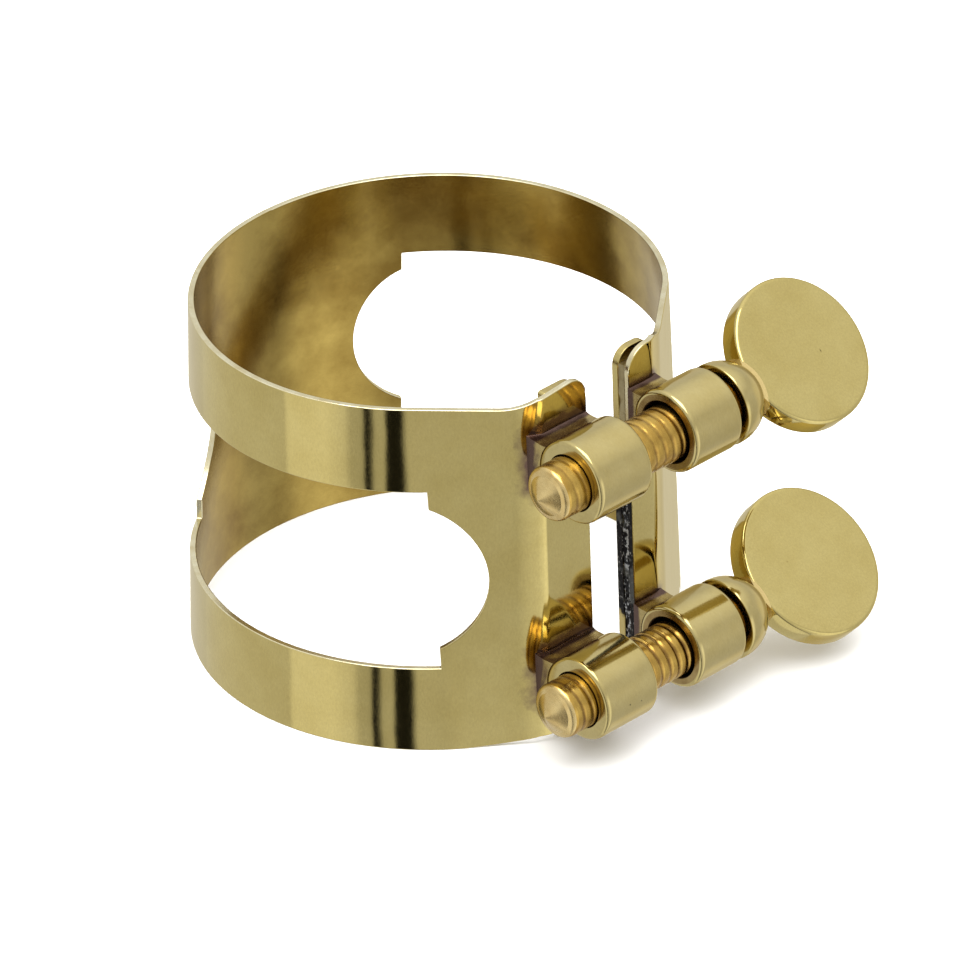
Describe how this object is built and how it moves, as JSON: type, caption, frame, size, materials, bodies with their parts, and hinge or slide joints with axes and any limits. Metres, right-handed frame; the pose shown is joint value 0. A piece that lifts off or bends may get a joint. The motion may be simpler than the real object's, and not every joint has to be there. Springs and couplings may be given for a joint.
{
  "type": "saxophone ligature",
  "caption": "Sheet-brass mouthpiece clamp: tapered band with two windows, flanged gap with inner rails, and two thumb screws through soldered barrels.",
  "frame": {"origin": "on the mouthpiece axis, in the plane of the wide bottom rim", "axes": "+Z along the mouthpiece axis towards the narrow rim, the gap faces -Y, the screws run along X with their thumb discs towards +X"},
  "size_m": [0.0322, 0.0365, 0.0232],
  "materials": {
    "polished_brass": "polished and lacquered outside, duller inside",
    "raw_brass": "bare machined brass, slightly tarnished",
    "solder": "dull soft solder with dark flux stain",
    "braze": "smooth brazed bead"
  },
  "bodies": {
    "threaded_side": {"band_threaded_half": "polished_brass", "threaded_side_rail": "polished_brass", "threaded_rail_solder": "solder", "upper_threaded_barrel": "polished_brass", "upper_threaded_solder": "solder", "lower_threaded_barrel": "polished_brass", "lower_threaded_solder": "solder"},
    "plain_side": {"band_plain_half": "polished_brass", "plain_side_rail": "polished_brass", "plain_rail_solder": "solder", "upper_plain_barrel": "polished_brass", "upper_plain_solder": "solder", "lower_plain_barrel": "polished_brass", "lower_plain_solder": "solder"},
    "upper_screw_shank": {"upper_screw": "raw_brass"},
    "upper_screw_head": {"upper_thumb_disc": "polished_brass", "upper_disc_braze": "braze"},
    "lower_screw_shank": {"lower_screw": "raw_brass"},
    "lower_screw_head": {"lower_thumb_disc": "polished_brass", "lower_disc_braze": "braze"}
  },
  "joints": [
    {"name": "band_flex", "type": "hinge", "parent": "threaded_side", "child": "plain_side", "pos_m": [0, 0.01351, 0.011], "axis": [0, 0, 1], "range_deg": [-3.3, 0], "stiffness_Nm_per_rad": 2},
    {"name": "upper_screw_travel", "type": "slide", "parent": "threaded_side", "child": "upper_screw_shank", "axis": [1, 0, 0], "range_m": [-0.00025, 0.0055]},
    {"name": "upper_screw_turn", "type": "hinge", "parent": "upper_screw_shank", "child": "upper_screw_head", "pos_m": [0.0123, -0.0177, 0.0189], "axis": [1, 0, 0], "range_deg": [-128.6, 2828.6]},
    {"name": "lower_screw_travel", "type": "slide", "parent": "threaded_side", "child": "lower_screw_shank", "axis": [1, 0, 0], "range_m": [-0.00025, 0.0055]},
    {"name": "lower_screw_turn", "type": "hinge", "parent": "lower_screw_shank", "child": "lower_screw_head", "pos_m": [0.0123, -0.0177, 0.00444], "axis": [1, 0, 0], "range_deg": [-128.6, 2828.6]}
  ],
  "couplings": [
    {"joint": "upper_screw_turn", "follows": "upper_screw_travel", "rad_per_m": 8976},
    {"joint": "lower_screw_turn", "follows": "lower_screw_travel", "rad_per_m": 8976}
  ]
}
